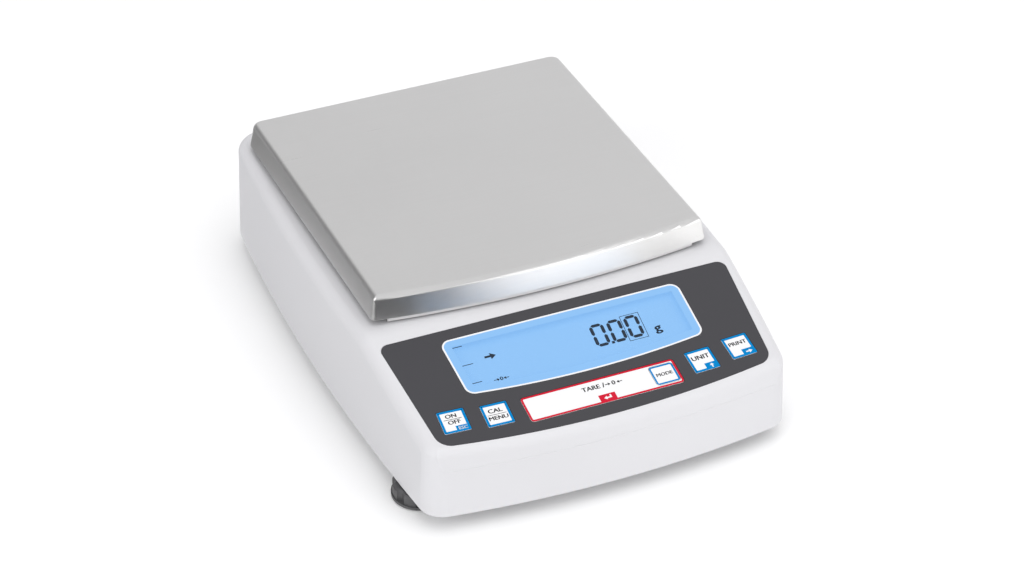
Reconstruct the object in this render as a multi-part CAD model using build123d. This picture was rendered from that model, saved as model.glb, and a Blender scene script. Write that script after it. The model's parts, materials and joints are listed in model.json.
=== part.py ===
from build123d import *
from math import asin, cos, degrees, radians, sin, sqrt, tan
import os

# Top-loading precision balance. Millimetres, +Z up, the user stands at -Y.
# The origin is on the floor, under the middle of the housing.

# Housing plan
body_length = 280.0
mid_half_width = 99.0
mid_y = 8.0
front_half_width = 92.5
rear_half_width = 91.5
front_bow = 7.8
front_corner_radius = 12.0
rear_corner_radius = 18.0

# Housing heights and skin
ground_clearance = 9.0
deck_height = 63.0
side_draft = 2.0
wall = 2.5
edge_radius = 5.5
front_band_height = 34.0
front_band_lean = 10.0
front_band_step = 0.2
panel_length = 83.0
panel_slope = 14.0
crease_radius = 22.0
deck_hole_radius = 22.0
collar_wall = 2.5
collar_height = 3.0

# Spirit level, let into the deck behind the pan
level_radius = 4.2
level_depth = 5.5
level_wall = 0.9
level_setback = 12.0

# Clearances
press_gap = 0.1
slide_gap = 0.3
film_gap = 0.15
thread_gap = 0.05

# Control panel, measured on the slope: s is the distance down from the crease
film_thickness = 0.6
film_top_s = 7.9
film_top_half_width = 90.0
film_front_half_width = 84.6
film_corner_s = 73.0
film_front_s = 79.8
film_rear_corner = 4.5
film_front_corner = 8.0
window_top_s = 15.0
window_half_width = 60.9
window_front_half_width = 60.0
window_corner_s = 47.4
window_front_s = 51.3
window_corner = 4.0
window_ledge = 1.6

# Keys
key_size = 13.0
key_corner = 0.6
outer_key_x = 73.0
outer_key_s = 60.6
inner_key_x = 52.4
inner_key_s = 63.0
outer_key_turn = 2.9
inner_key_turn = 2.0
tare_length = 78.0
tare_height = 14.7
tare_corner = 1.6
tare_s = 65.2
mode_x = 31.7
mode_width = 12.1
mode_height = 11.2
mode_corner = 1.4
key_flange = 0.8
key_flange_thickness = 0.8
key_travel = 0.4
mode_flange_gap = 0.4

# Display stack under the panel
glass_thickness = 2.2
glass_margin = 1.0
bezel_wall = 0.8
board_depth = 10.0
board_thickness = 1.6
board_half_width = 82.0
board_top_s = 9.0
board_front_s = 72.0
switch_size = 6.0
switch_height = 3.6
plunger_radius = 1.6
stem_radius = 2.2
key_rest_gap = 0.7

# Weighing pan
pan_width = 170.0
pan_depth = 170.0
pan_front_y = -49.0
pan_bow = 6.7
pan_top = 78.0
pan_flange = 11.8
pan_flare = 2.3
pan_sheet = 1.0
pan_bend = 2.6
pan_rear_corner = 5.0
pan_front_corner = 0.9
pan_lip_height = 2.0
pan_lip_inset = 5.5
pan_lip_step = 0.7

# Weigh cell and what it carries
cell_length = 130.0
cell_width = 30.0
cell_height = 22.0
cell_bore_radius = 8.0
cell_bore_spacing = 34.0
cell_spacer_height = 8.0
cell_bolt_radius = 3.0
cell_bolt_pitch = 15.0
cell_bolt_inset = 10.0
weigh_travel = 0.5
weigh_gap = 0.8
bracket_thickness = 5.0
column_radius = 11.0
hub_radius = 31.0
hub_skirt = 2.5
arm_thickness = 4.0
arm_reach_x = 66.0
arm_reach_y = 62.0
arm_root = 13.0
arm_tip = 7.5
damper_radius = 6.0
damper_height = 3.6
damper_bore_radius = 2.0

# Base
base_thickness = 3.0
base_recess = 0.5
base_lip = 1.8
base_lip_height = 4.0
rib_thickness = 1.6
rib_height = 4.0
rib_pitch = 30.0

# Levelling feet at the front, fixed feet at the rear
foot_x = 84.5
foot_y = -102.0
wheel_radius = 14.0
wheel_lobes = 8
wheel_lobe_radius = 2.6
wheel_height = 7.2
wheel_bottom = 0.8
wheel_rim = 1.4
stud_radius = 3.0
stud_pitch = 1.0
stud_length = 24.0
foot_travel = 6.0
insert_wall = 1.2
insert_length = 9.0
pad_radius = 8.0
pad_thickness = 2.4
pad_neck_radius = 3.6
rear_foot_x = 74.0
rear_foot_y = 100.0
rear_foot_radius = 9.0

# Screws
screw_radius = 1.4
screw_head_radius = 2.8
screw_length = 12.0
boss_radius = 4.0
front_screw_x = 58.0
front_boss_top = 30.0
mid_screw_x = 85.0
rear_screw_x = 85.0
rear_screw_y = 104.0
small_screw_radius = 1.2
small_head_radius = 2.2
small_head_height = 1.6

# Electronics at the rear
main_board_size = (58.0, 80.0)
main_board_centre = (-51.0, 84.0)
main_board_height = 22.0
socket_pocket = (58.0, 22.0)
socket_pocket_depth = 7.0
socket_pocket_x = -50.0
socket_axis_height = 30.4
jack_x = -68.0
jack_bore_radius = 3.1
jack_nose_radius = 4.3
jack_pin_radius = 1.05
port_x = -42.0
port_size = (17.0, 8.4)
port_flange = (31.0, 12.5)
port_reach = 5.6
post_spacing = 25.0
post_width = 5.0

# Sizes that follow from the ones above
front_y = -body_length / 2
rear_y = body_length / 2
crease_y = front_y + panel_length
slope = radians(panel_slope)
panel_plane = Plane(
    origin=(0, crease_y, deck_height),
    x_dir=(1, 0, 0),
    z_dir=(0, -sin(slope), cos(slope)),
)
base_bottom = ground_clearance + base_recess
base_top = base_bottom + base_thickness
pan_centre_y = pan_front_y + pan_depth / 2
pan_underside = pan_top - pan_sheet
pan_flange_bottom = pan_top - pan_flange
cell_bottom = base_top + cell_spacer_height
cell_top = cell_bottom + cell_height
bracket_bottom = cell_top + weigh_gap
column_bottom = bracket_bottom + bracket_thickness
damper_top = pan_underside - slide_gap
arm_top = damper_top - damper_height
arm_bottom = arm_top - arm_thickness
key_depth = wall + slide_gap + key_flange_thickness
cell_end_y = cell_length / 2 - cell_bolt_inset


def z_cylinder(radius, bottom, top, x=0.0, y=0.0):
    return Pos(x, y, (bottom + top) / 2) * Cylinder(radius, top - bottom)


def z_box(width, depth, bottom, top, x=0.0, y=0.0):
    return Pos(x, y, (bottom + top) / 2) * Box(width, depth, top - bottom)


def as_group(solids):
    # separate solids kept side by side in one file
    return Compound(children=list(solids))


def plan_face(inset=0.0):
    # barrel-sided plan of the housing, bowed out at the front
    mid_x = mid_half_width - inset
    front_x = front_half_width - inset
    rear_x = rear_half_width - inset
    front = front_y + inset
    corner_y = front + front_bow
    rear = rear_y - inset
    face = make_face(
        Curve()
        + [
            ThreePointArc((-front_x, corner_y), (0, front), (front_x, corner_y)),
            ThreePointArc((front_x, corner_y), (mid_x, mid_y), (rear_x, rear)),
            Line((rear_x, rear), (-rear_x, rear)),
            ThreePointArc((-rear_x, rear), (-mid_x, mid_y), (-front_x, corner_y)),
        ]
    )
    face = fillet(face.vertices().sort_by(Axis.Y)[:2], front_corner_radius - inset)
    return fillet(face.vertices().sort_by(Axis.Y)[-2:], rear_corner_radius - inset)


def front_wall_y(x):
    # outer face of the bowed front wall at the foot of the housing
    return front_y + front_bow * (x / front_half_width) ** 2


def above_top(drop):
    # everything above the deck and the sloped panel, lowered by drop
    turn_y = crease_y + drop * tan(slope / 2)
    turn_z = deck_height - drop
    reach = body_length
    points = [
        (rear_y + reach, turn_z),
        (turn_y, turn_z),
        (turn_y - reach, turn_z - reach * tan(slope)),
        (turn_y - reach, deck_height + reach),
        (rear_y + reach, deck_height + reach),
    ]
    face = make_face(Polyline(*points, close=True))
    crease = [v for v in face.vertices() if abs(v.X - turn_y) < 1e-3]
    face = fillet(crease, crease_radius - drop)
    return extrude(Plane.YZ * face, amount=reach / 2, both=True)


def front_band_cut(inset):
    # what the band along the top of the front wall leans back from
    reach = 1.5 * mid_half_width
    rise = front_band_height - ground_clearance
    front = front_y + inset + front_band_step + rise * tan(radians(side_draft))
    bow = front_wall_y(reach) - front_y
    far = front - body_length / 4
    field = make_face(
        Curve()
        + [
            ThreePointArc((-reach, front + bow), (0, front), (reach, front + bow)),
            Line((reach, front + bow), (reach, far)),
            Line((reach, far), (-reach, far)),
            Line((-reach, far), (-reach, front + bow)),
        ]
    )
    return extrude(Pos(0, 0, front_band_height) * field, deck_height, taper=-front_band_lean)


def housing_block(inset, drop, bottom):
    # solid form of the housing, inset and lowered for the inside of the wall
    height = deck_height + 5 - bottom
    shrink = (bottom - ground_clearance) * tan(radians(side_draft))
    foot = Pos(0, 0, bottom) * plan_face(inset + shrink)
    block = extrude(foot, height, taper=side_draft) - front_band_cut(inset) - above_top(drop)
    lowest_top = deck_height - panel_length * tan(slope) - drop - edge_radius
    rim = [
        edge
        for edge in block.edges()
        if edge.bounding_box().min.Z > lowest_top
        and not (
            abs(edge.center().Y - crease_y) < crease_radius
            and edge.bounding_box().size.X > front_half_width
        )
    ]
    return fillet(rim, edge_radius - drop)


def film_outline(inset=0.0):
    # tapered panel field with a front edge that runs parallel to the housing
    top = -film_top_s - inset
    top_x = film_top_half_width - inset
    low_x = film_front_half_width - inset
    low = -film_corner_s + inset * 0.5
    front = -film_front_s + inset
    face = make_face(
        Curve()
        + [
            Line((-top_x, top), (top_x, top)),
            Line((top_x, top), (low_x, low)),
            ThreePointArc((low_x, low), (0, front), (-low_x, low)),
            Line((-low_x, low), (-top_x, top)),
        ]
    )
    rear = face.vertices().sort_by(Axis.Y)[-2:]
    face = fillet(rear, film_rear_corner)
    lower = face.vertices().sort_by(Axis.Y)[:2]
    return fillet(lower, film_front_corner)


def window_outline(inset=0.0):
    # display window, straight at the top and bowed at the front
    top = -window_top_s - inset
    top_x = window_half_width - inset
    low_x = window_front_half_width - inset
    low = -window_corner_s + inset
    front = -window_front_s + inset
    face = make_face(
        Curve()
        + [
            Line((-top_x, top), (top_x, top)),
            Line((top_x, top), (low_x, low)),
            ThreePointArc((low_x, low), (0, front), (-low_x, low)),
            Line((-low_x, low), (-top_x, top)),
        ]
    )
    return fillet(face.vertices(), window_corner - inset)


def rounded_field(width, height, corner, grow=0.0):
    return RectangleRounded(width + 2 * grow, height + 2 * grow, corner + grow)


def key_places():
    # name, centre on the slope, turn and outline of each square key
    return {
        "power_key": (-outer_key_x, -outer_key_s, -outer_key_turn),
        "cal_key": (-inner_key_x, -inner_key_s, -inner_key_turn),
        "unit_key": (inner_key_x, -inner_key_s, inner_key_turn),
        "print_key": (outer_key_x, -outer_key_s, outer_key_turn),
    }


def key_fields(grow=0.0):
    # outlines of all the key openings, grown by the clearance
    fields = [
        Pos(x, s) * Rot(0, 0, turn) * rounded_field(key_size, key_size, key_corner, grow)
        for x, s, turn in key_places().values()
    ]
    fields.append(Pos(0, -tare_s) * rounded_field(tare_length, tare_height, tare_corner, grow))
    return fields


def slab(face, top, bottom):
    # a face of the sloped panel given thickness, both heights along its normal
    return panel_plane * (Pos(0, 0, bottom) * extrude(face, top - bottom))


def screw_bosses():
    # x, y and top of the six columns that take the housing screws
    front_row = front_wall_y(front_screw_x) + wall + 2 * boss_radius + 1.0
    under_deck = deck_height - wall
    rows = [
        (front_screw_x, front_row, front_boss_top),
        (mid_screw_x, mid_y, under_deck),
        (rear_screw_x, rear_screw_y, under_deck),
    ]
    return [(side * x, y, top) for x, y, top in rows for side in (-1, 1)]


def board_posts():
    # display board screw places on the slope
    x = board_half_width - 4.0
    return [(side * x, -s) for side in (-1, 1) for s in (board_top_s + 5.0, 43.0)]


def pocket_box(grow=0.0):
    # connector pocket in the rear wall, open to the back, grown by the wall for its shell
    width, height = socket_pocket
    return Pos(socket_pocket_x, rear_y - socket_pocket_depth / 2, socket_axis_height) * Box(
        width + 2 * grow, socket_pocket_depth + 2 * grow, height + 2 * grow
    )


def upper_housing():
    shell = housing_block(0.0, 0.0, ground_clearance)
    cavity = housing_block(wall, wall, ground_clearance)
    shell -= cavity
    collar_radius = deck_hole_radius + collar_wall
    shell += z_cylinder(collar_radius, deck_height - wall, deck_height + collar_height, 0, pan_centre_y)
    shell -= z_cylinder(deck_hole_radius, deck_height - 20, pan_top, 0, pan_centre_y)
    for x, y, top in screw_bosses():
        shell += z_cylinder(boss_radius, base_top, top + 1.0, x, y)
        if top == front_boss_top:
            web = 1.5 * boss_radius
            above_lip = base_top + base_lip_height + slide_gap
            shell += z_box(rib_thickness, web, above_lip, top, x, y - boss_radius + 1.0 - web / 2)
        shell -= z_cylinder(screw_radius, base_top - 1, base_top + screw_length, x, y)
    # connector pocket
    shell += pocket_box(wall) & housing_block(wall / 2, wall / 2, ground_clearance)
    shell -= pocket_box()
    floor_y = rear_y - socket_pocket_depth - wall / 2
    jack_hole = Pos(jack_x, floor_y, socket_axis_height) * Rot(90, 0, 0) * Cylinder(
        jack_nose_radius + press_gap, 3 * wall
    )
    port_hole = Pos(port_x, floor_y, socket_axis_height) * Box(
        port_size[0] + 2 * press_gap, 3 * wall, port_size[1] + 2 * press_gap
    )
    shell -= jack_hole + port_hole
    for side in (-1, 1):
        shell -= Pos(port_x + side * post_spacing / 2, floor_y, socket_axis_height) * Rot(
            90, 0, 0
        ) * Cylinder(screw_radius + press_gap, 3 * wall)
    # cup for the spirit level
    level_floor = deck_height - level_depth
    shell += z_cylinder(level_radius + wall, level_floor - 1.5, deck_height - 1.0, 0, level_centre_y())
    shell -= z_cylinder(level_radius + press_gap, level_floor, pan_top, 0, level_centre_y())
    # posts for the display board
    for x, s in board_posts():
        shell += panel_plane * z_cylinder(boss_radius - 0.5, -board_depth, -wall + 0.5, x, s)
        shell -= panel_plane * z_cylinder(small_screw_radius, -board_depth - 1, -wall - 1.0, x, s)
    # film seat, display opening and key openings
    shell -= slab(film_outline(), 5.0, -film_thickness)
    shell -= slab(window_outline(window_ledge), 5.0, -wall - 3)
    for field in key_fields(slide_gap):
        shell -= slab(field, 5.0, -wall - 3)
    return shell


def panel_film():
    film = slab(film_outline(film_gap), 0.0, -film_thickness)
    film -= slab(window_outline(), 5.0, -5.0)
    for field in key_fields(slide_gap):
        film -= slab(field, 5.0, -5.0)
    return film


def display_window():
    return slab(window_outline(press_gap), 0.0, -film_thickness)


def glass_size():
    width = 2 * (window_half_width - window_ledge + glass_margin)
    length = window_front_s - window_top_s - 2 * window_ledge + 2 * glass_margin
    middle = -(window_top_s + window_front_s) / 2
    return width, length, middle


def lcd_glass():
    width, length, middle = glass_size()
    top = -wall - slide_gap
    return slab(Pos(0, middle) * Rectangle(width, length), top, top - glass_thickness)


def backlight():
    width, length, middle = glass_size()
    top = -wall - slide_gap - glass_thickness
    return slab(Pos(0, middle) * Rectangle(width, length), top, -board_depth)


def lcd_bezel():
    width, length, middle = glass_size()
    inner = Rectangle(width + 2 * press_gap, length + 2 * press_gap)
    outer = offset(inner, bezel_wall)
    return slab(Pos(0, middle) * (outer - inner), -wall - press_gap, -board_depth)


def display_board():
    length = board_front_s - board_top_s
    middle = -(board_front_s + board_top_s) / 2
    face = Pos(0, middle) * RectangleRounded(2 * board_half_width, length, 2.0)
    board = slab(face, -board_depth, -board_depth - board_thickness)
    for x, s in board_posts():
        board -= panel_plane * z_cylinder(
            small_screw_radius, -board_depth - board_thickness - 1, -board_depth + 1, x, s
        )
    return board


def switch_places():
    places = [(x, s) for x, s, turn in key_places().values()]
    return places + [(0.0, -tare_s), (mode_x, -tare_s)]


def key_switches():
    solids = []
    for x, s in switch_places():
        body = Pos(x, s) * RectangleRounded(switch_size, switch_size, 0.5)
        switch = slab(body, -board_depth + switch_height, -board_depth)
        plunger_top = -board_depth + switch_height + 0.7
        switch += panel_plane * z_cylinder(
            plunger_radius, -board_depth + switch_height - 0.2, plunger_top, x, s
        )
        solids.append(switch)
    return as_group(solids)


def stem_bottom():
    return -board_depth + switch_height + 0.7 + key_rest_gap


def square_key(x, s, turn):
    place = Pos(x, s) * Rot(0, 0, turn)
    key = slab(place * rounded_field(key_size, key_size, key_corner), 0.0, -key_depth)
    key = fillet(key.faces().sort_by(Axis((0, 0, 0), panel_plane.z_dir))[-1].edges(), 0.25)
    flange = place * rounded_field(key_size, key_size, key_corner, key_flange)
    key += slab(flange, -wall - slide_gap, -key_depth)
    key += panel_plane * z_cylinder(stem_radius, stem_bottom(), -key_depth, x, s)
    return key


def tare_key():
    bar = Pos(0, -tare_s) * rounded_field(tare_length, tare_height, tare_corner)
    key = slab(bar, 0.0, -key_depth)
    key = fillet(key.faces().sort_by(Axis((0, 0, 0), panel_plane.z_dir))[-1].edges(), 0.25)
    flange = Pos(0, -tare_s) * rounded_field(tare_length, tare_height, tare_corner, key_flange)
    key += slab(flange, -wall - slide_gap, -key_depth)
    notch = Pos(mode_x, -tare_s) * rounded_field(mode_width, mode_height, mode_corner, slide_gap)
    key -= slab(notch, 1.0, -key_depth - 1.0)
    key += panel_plane * z_cylinder(stem_radius, stem_bottom(), -key_depth, 0, -tare_s)
    return key


def mode_key():
    field = Pos(mode_x, -tare_s) * rounded_field(mode_width, mode_height, mode_corner)
    flange_top = -key_depth - key_travel - mode_flange_gap
    flange_bottom = flange_top - key_flange_thickness
    key = slab(field, 0.0, flange_bottom)
    key = fillet(key.faces().sort_by(Axis((0, 0, 0), panel_plane.z_dir))[-1].edges(), 0.25)
    flange = Pos(mode_x, -tare_s) * rounded_field(mode_width, mode_height, mode_corner, key_flange)
    key += slab(flange, flange_top, flange_bottom)
    if stem_bottom() < flange_bottom:
        key += panel_plane * z_cylinder(stem_radius, stem_bottom(), flange_bottom, mode_x, -tare_s)
    return key


def cap_screw(radius, length, head_radius, head_height):
    # head down, shank up from z = 0
    shank = z_cylinder(radius, 0, length)
    head = z_cylinder(head_radius, -head_height, 0)
    head = chamfer(head.edges().sort_by(Axis.Z)[0], head_height * 0.25)
    socket = extrude(Pos(0, 0, -head_height) * RegularPolygon(head_radius * 0.5, 6), head_height * 0.5)
    return shank + head - socket


def display_board_screws():
    screw = cap_screw(small_screw_radius - press_gap, 6.0, small_head_radius, small_head_height)
    return as_group(
        [panel_plane * (Pos(x, s, -board_depth - board_thickness) * screw) for x, s in board_posts()]
    )


def pan_outline(grow=0.0):
    half = pan_width / 2 + grow
    rear = pan_front_y + pan_depth + grow
    front = pan_front_y - grow
    face = make_face(
        Curve()
        + [
            ThreePointArc((-half, front), (0, front - pan_bow), (half, front)),
            Line((half, front), (half, rear)),
            Line((half, rear), (-half, rear)),
            Line((-half, rear), (-half, front)),
        ]
    )
    face = fillet(face.vertices().sort_by(Axis.Y)[-2:], pan_rear_corner + grow)
    return fillet(face.vertices().sort_by(Axis.Y)[:2], pan_front_corner + grow)


def pan_form(shrink, drop):
    # flared tray, its edge shrunk by the sheet for the inside
    taper = degrees(asin(pan_flare / pan_flange))
    foot = Pos(0, 0, pan_flange_bottom) * pan_outline(pan_flare - shrink)
    form = extrude(foot, pan_flange - drop, taper=taper)
    top = form.faces().sort_by(Axis.Z)[-1]
    return fillet(top.edges(), pan_bend - drop)


def weighing_pan():
    pan = pan_form(0.0, 0.0)
    inside = pan_form(pan_sheet, pan_sheet)
    pan -= inside
    # folded lip under the front flange, short of both corners
    lip_grow = pan_flare - pan_lip_step
    lip = Pos(0, 0, pan_flange_bottom - pan_lip_height) * (
        pan_outline(lip_grow) - pan_outline(lip_grow - pan_sheet)
    )
    lip = extrude(lip, pan_lip_height + 0.6)
    front_strip = z_box(
        pan_width - 2 * pan_lip_inset, pan_bow + 2 * pan_flare + 6.0,
        pan_flange_bottom - pan_lip_height - 1, pan_flange_bottom + 2,
        0, pan_front_y - pan_bow / 2,
    )
    return pan + (lip & front_strip)


def arm_tips():
    return [(sx * arm_reach_x, pan_centre_y + sy * arm_reach_y) for sx in (-1, 1) for sy in (-1, 1)]


def pan_support():
    # cast spider: a skirted hub over the deck collar and four tapered, ribbed arms
    hub_bottom = deck_height + 1.5
    support = z_cylinder(hub_radius, hub_bottom, arm_top, 0, pan_centre_y)
    support -= z_cylinder(hub_radius - hub_skirt, hub_bottom - 1, arm_bottom, 0, pan_centre_y)
    for x, y in arm_tips():
        reach_x = x
        reach_y = y - pan_centre_y
        length = sqrt(reach_x**2 + reach_y**2)
        turn = degrees(asin(reach_y / length))
        if reach_x < 0:
            turn = 180 - turn
        arm_face = make_face(
            Polyline((0, -arm_root), (length, -arm_tip), (length, arm_tip), (0, arm_root), close=True)
        ) + Pos(length, 0) * Circle(arm_tip)
        arm = extrude(Pos(0, 0, arm_bottom) * arm_face, arm_thickness)
        hollow = make_face(
            Polyline(
                (hub_radius + 3, -arm_root * 0.45),
                (length - arm_tip, -arm_tip * 0.4),
                (length - arm_tip, arm_tip * 0.4),
                (hub_radius + 3, arm_root * 0.45),
                close=True,
            )
        )
        arm -= extrude(Pos(0, 0, arm_bottom) * hollow, arm_thickness * 0.6)
        support += Pos(0, pan_centre_y, 0) * Rot(0, 0, turn) * arm
    for x, y in arm_tips():
        support -= z_cylinder(damper_bore_radius, arm_bottom - 1, arm_top + 1, x, y)
    bolt = z_cylinder(cell_bolt_radius + press_gap, arm_bottom - 1, arm_top + 1, 0, pan_centre_y)
    return support - bolt


def pan_dampers():
    # rubber buttons pressed into the arm tips
    button = z_cylinder(damper_radius, arm_top, damper_top)
    button = fillet(button.edges().sort_by(Axis.Z)[-1], 1.2)
    button += z_cylinder(damper_bore_radius, arm_bottom, arm_top)
    return as_group([Pos(x, y, 0) * button for x, y in arm_tips()])


def load_bracket():
    # plate on the free end of the cell, reaching back under the middle of the pan
    free_y = pan_centre_y - cell_end_y
    length = cell_end_y + 2 * cell_bolt_inset + 6.0
    centre_y = (free_y - cell_bolt_inset + pan_centre_y + cell_bolt_inset + 6.0) / 2
    plate = z_box(cell_width + 8.0, length, bracket_bottom, column_bottom, 0, centre_y)
    plate = fillet(plate.edges().filter_by(Axis.Z), 6.0)
    for y in cell_bolt_rows(-1):
        plate -= z_cylinder(cell_bolt_radius + press_gap, bracket_bottom - 1, column_bottom + 1, 0, y)
    return plate


def load_column():
    column = z_cylinder(column_radius, column_bottom, arm_bottom, 0, pan_centre_y)
    column = fillet(column.edges().sort_by(Axis.Z)[-1], 1.0)
    column += z_cylinder(column_radius + 3.0, column_bottom, column_bottom + 4.0, 0, pan_centre_y)
    return column - z_cylinder(cell_bolt_radius, arm_bottom - 14.0, arm_bottom + 1, 0, pan_centre_y)


def support_screw():
    screw = Rot(180, 0, 0) * cap_screw(cell_bolt_radius - press_gap, 14.0 + arm_thickness - 1, 5.0, 2.6)
    return Pos(0, pan_centre_y, arm_top) * screw


def cell_bolt_rows(side):
    # two bolts on the cell's centre line, near the fixed (+1) or free (-1) end
    end = pan_centre_y + side * cell_end_y
    return [end, end - side * cell_bolt_pitch]


def load_cell():
    # single-point beam with a dumb-bell cut-out
    beam = z_box(cell_width, cell_length, cell_bottom, cell_top, 0, pan_centre_y)
    beam = chamfer(beam.edges().filter_by(Axis.Y), 0.8)
    middle = (cell_bottom + cell_top) / 2
    for side in (-1, 1):
        bore = Pos(0, pan_centre_y + side * cell_bore_spacing / 2, middle) * Rot(0, 90, 0) * Cylinder(
            cell_bore_radius, cell_width + 2
        )
        beam -= bore
    beam -= Pos(0, pan_centre_y, middle) * Box(cell_width + 2, cell_bore_spacing, cell_bore_radius)
    for y in cell_bolt_rows(1) + cell_bolt_rows(-1):
        beam -= z_cylinder(cell_bolt_radius + 0.4, cell_bottom - 1, cell_top + 1, 0, y)
    return beam


def cell_spacer():
    rows = cell_bolt_rows(1)
    spacer = z_box(cell_width, 2 * cell_bolt_inset + cell_bolt_pitch, base_top, cell_bottom, 0, sum(rows) / 2)
    spacer = chamfer(spacer.edges().filter_by(Axis.Z), 1.5)
    for y in rows:
        spacer -= z_cylinder(cell_bolt_radius + press_gap, base_top - 1, cell_bottom + 1, 0, y)
    return spacer


def cell_bolts():
    # from above through the fixed end of the cell into the spacer
    length = cell_height + cell_spacer_height - 1.0
    bolt = Rot(180, 0, 0) * cap_screw(cell_bolt_radius, length, 5.0, 5.0)
    return as_group([Pos(0, y, cell_top) * bolt for y in cell_bolt_rows(1)])


def bracket_bolts():
    # from above through the bracket into the free end of the cell, running free there
    bolt = Rot(180, 0, 0) * cap_screw(cell_bolt_radius, bracket_thickness + 14.0, 5.0, 5.0)
    return as_group([Pos(0, y, column_bottom) * bolt for y in cell_bolt_rows(-1)])


def overload_stops():
    # two set screws in the base under the free end of the cell
    stop = z_cylinder(3.0, base_top, cell_bottom - 0.3)
    nut = extrude(Pos(0, 0, base_top) * RegularPolygon(5.5, 6), 3.0)
    stop = stop + nut
    return as_group([Pos(side * 8.0, pan_centre_y - cell_end_y, 0) * stop for side in (-1, 1)])


def base_face(inset=0.0):
    depth = (base_bottom - ground_clearance) * tan(radians(side_draft))
    return plan_face(wall + slide_gap + depth + inset)


def foot_places():
    return [(-foot_x, foot_y), (foot_x, foot_y)]


def rear_foot_places():
    return [(-rear_foot_x, rear_foot_y), (rear_foot_x, rear_foot_y)]


def board_corners():
    width, length = main_board_size
    x, y = main_board_centre
    return [(x + sx * (width / 2 - 4), y + sy * (length / 2 - 4)) for sx in (-1, 1) for sy in (-1, 1)]


def base_tray():
    tray = extrude(Pos(0, 0, base_bottom) * base_face(), base_thickness)
    lip_ring = base_face(0.6) - base_face(0.6 + base_lip)
    lip = extrude(Pos(0, 0, base_top - 0.2) * lip_ring, base_lip_height)
    # ribs run between the lips in both directions, around the weigh cell
    columns = int(mid_half_width // rib_pitch)
    rows = int(body_length / 2 // rib_pitch)
    rib_top = base_top + rib_height
    inside = extrude(Pos(0, 0, base_top) * base_face(1.0), rib_height)
    grid = [
        z_box(rib_thickness, body_length, base_top, rib_top, index * rib_pitch, 0)
        for index in range(-columns, columns + 1)
    ]
    grid += [
        z_box(2 * mid_half_width, rib_thickness, base_top, rib_top, 0, index * rib_pitch)
        for index in range(-rows, rows + 1)
    ]
    cell_bay = z_box(cell_width + 6, cell_length + 6, base_top, rib_top, 0, pan_centre_y)
    ribs = (Part() + grid) & inside
    ribs -= cell_bay
    tray += lip + ribs
    for x, y, top in screw_bosses():
        tray -= z_cylinder(boss_radius + slide_gap, base_top, base_top + 3 * rib_height, x, y)
        tray -= z_cylinder(screw_radius + press_gap, base_bottom - 1, base_top + 1, x, y)
        tray -= z_cylinder(screw_head_radius + slide_gap, base_bottom - 1, base_top - 1.0, x, y)
    for x, y in board_corners():
        tray += z_cylinder(boss_radius, base_top - 0.2, main_board_height, x, y)
        tray -= z_cylinder(small_screw_radius, main_board_height - 8.0, main_board_height + 1, x, y)
    for x, y in foot_places():
        tray += z_cylinder(insert_radius() + 1.6, base_bottom, base_top + insert_length - 3.0, x, y)
        tray -= z_cylinder(insert_radius(), base_bottom - 1, base_top + insert_length, x, y)
    for x, y in rear_foot_places():
        tray -= z_cylinder(rear_foot_radius * 0.5, base_bottom - 1, base_top + 1, x, y)
    for x in (-8.0, 8.0):
        tray += z_cylinder(6.5, base_top - 0.2, base_top, x, pan_centre_y - cell_end_y)
    return tray


def insert_radius():
    return stud_radius + thread_gap + insert_wall


def foot_inserts():
    # brass threaded sleeves in the base
    solids = []
    for x, y in foot_places():
        sleeve = z_cylinder(insert_radius(), base_bottom, base_bottom + insert_length, x, y)
        solids.append(sleeve - z_cylinder(stud_radius + thread_gap, 0, base_top + insert_length, x, y))
    return as_group(solids)


def foot_wheel(x, y):
    # lobed finger wheel on a thin round rim
    top = wheel_bottom + wheel_height
    wheel = z_cylinder(wheel_radius - 0.6, wheel_bottom + wheel_rim - 0.2, top)
    for index in range(wheel_lobes):
        turn = 360 / wheel_lobes * (index + 0.5)
        wheel -= Rot(0, 0, turn) * z_cylinder(
            wheel_lobe_radius, wheel_bottom + wheel_rim, top + 1, wheel_radius + 0.4, 0
        )
    wheel = fillet(wheel.edges().group_by(Axis.Z)[-1], 0.8)
    wheel += z_cylinder(wheel_radius, wheel_bottom, wheel_bottom + wheel_rim)
    wheel -= z_cylinder(pad_radius + slide_gap, wheel_bottom - 1, pad_thickness + slide_gap)
    wheel -= z_cylinder(stud_radius, 0, top + 1)
    wheel -= z_cylinder(pad_neck_radius + slide_gap, 0, pad_thickness + 2.0 + slide_gap)
    return Pos(x, y, 0) * wheel


def foot_stud(x, y):
    bottom = pad_thickness + 2.0 + 2 * slide_gap
    stud = z_cylinder(stud_radius, bottom, bottom + stud_length)
    stud = chamfer(stud.edges().sort_by(Axis.Z)[-1], 0.8)
    return Pos(x, y, 0) * stud


def foot_pad(x, y):
    # non-turning rubber pad with a neck that goes up into the wheel
    pad = z_cylinder(pad_radius, 0, pad_thickness)
    pad = fillet(pad.edges().sort_by(Axis.Z)[0], 0.6)
    pad += z_cylinder(pad_neck_radius, pad_thickness - 0.1, pad_thickness + 2.0)
    return Pos(x, y, 0) * pad


def rear_feet():
    solids = []
    for x, y in rear_foot_places():
        foot = z_cylinder(rear_foot_radius, 0, base_bottom, x, y)
        foot = fillet(foot.edges().sort_by(Axis.Z)[0], 1.5)
        foot += z_cylinder(rear_foot_radius * 0.5 - press_gap, base_bottom, base_top + 1.0, x, y)
        foot += z_cylinder(rear_foot_radius * 0.5 + 1.0, base_top, base_top + 1.5, x, y)
        solids.append(foot)
    return as_group(solids)


def housing_screws():
    screw = cap_screw(screw_radius - press_gap, screw_length, screw_head_radius, base_thickness - 1.6)
    return as_group([Pos(x, y, base_top - 1.0) * screw for x, y, top in screw_bosses()])


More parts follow.
